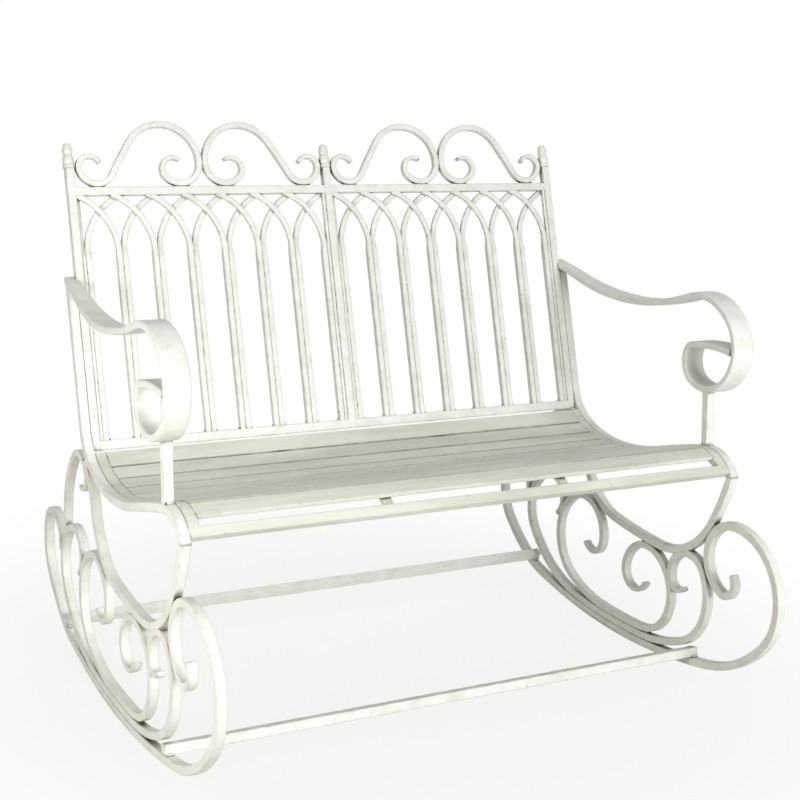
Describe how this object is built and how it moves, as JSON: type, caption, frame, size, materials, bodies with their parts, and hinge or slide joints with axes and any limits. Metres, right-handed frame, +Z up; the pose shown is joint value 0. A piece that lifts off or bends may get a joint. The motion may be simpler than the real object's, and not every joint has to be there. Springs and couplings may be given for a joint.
{
  "type": "rocking bench",
  "caption": "Painted iron rocking bench for two: slatted dipped seat, back of crossing arches with scrolled crest, curled armrests and scrolled runners joined by cross bars.",
  "frame": {"origin": "centre of the bounding box, on the floor that the runners rest on", "axes": "+Z up, +X to the right seen from the front, +Y to the back, so the front faces -Y"},
  "size_m": [1.145, 0.9564, 1.0161],
  "materials": {
    "frame_paint": "satin",
    "seat_paint": "satin"
  },
  "bodies": {
    "root": {"side_rail_left": "frame_paint", "leg_bar_left": "frame_paint", "runner_left": "frame_paint", "middle_scroll_left": "frame_paint", "inner_scroll_left": "frame_paint", "rear_scroll_left": "frame_paint", "armrest_left": "frame_paint", "arm_post_left": "frame_paint", "side_rail_right": "frame_paint", "leg_bar_right": "frame_paint", "runner_right": "frame_paint", "middle_scroll_right": "frame_paint", "inner_scroll_right": "frame_paint", "rear_scroll_right": "frame_paint", "armrest_right": "frame_paint", "arm_post_right": "frame_paint", "cross_bar_front": "frame_paint", "cross_bar_rear": "frame_paint", "seat_front_bar": "seat_paint", "seat_slat_01": "seat_paint", "seat_slat_02": "seat_paint", "seat_slat_03": "seat_paint", "seat_slat_04": "seat_paint", "seat_slat_05": "seat_paint", "seat_slat_06": "seat_paint", "seat_slat_07": "seat_paint", "seat_slat_08": "seat_paint", "seat_slat_09": "seat_paint", "seat_slat_10": "seat_paint", "seat_slat_11": "seat_paint", "seat_slat_12": "seat_paint", "seat_end_bar_left": "seat_paint", "seat_support_left": "seat_paint", "seat_end_bar_right": "seat_paint", "seat_support_right": "seat_paint", "back_post_left": "frame_paint", "back_post_centre": "frame_paint", "back_post_right": "frame_paint", "top_rail": "frame_paint", "bottom_rail": "frame_paint", "lattice_left_1": "frame_paint", "lattice_left_2": "frame_paint", "lattice_left_3": "frame_paint", "lattice_left_4": "frame_paint", "lattice_left_5": "frame_paint", "lattice_left_6": "frame_paint", "lattice_left_7": "frame_paint", "lattice_left_8": "frame_paint", "crest_scroll_left_1": "frame_paint", "crest_scroll_left_2": "frame_paint", "lattice_right_1": "frame_paint", "lattice_right_2": "frame_paint", "lattice_right_3": "frame_paint", "lattice_right_4": "frame_paint", "lattice_right_5": "frame_paint", "lattice_right_6": "frame_paint", "lattice_right_7": "frame_paint", "lattice_right_8": "frame_paint", "crest_scroll_right_1": "frame_paint", "crest_scroll_right_2": "frame_paint"}
  },
  "joints": []
}
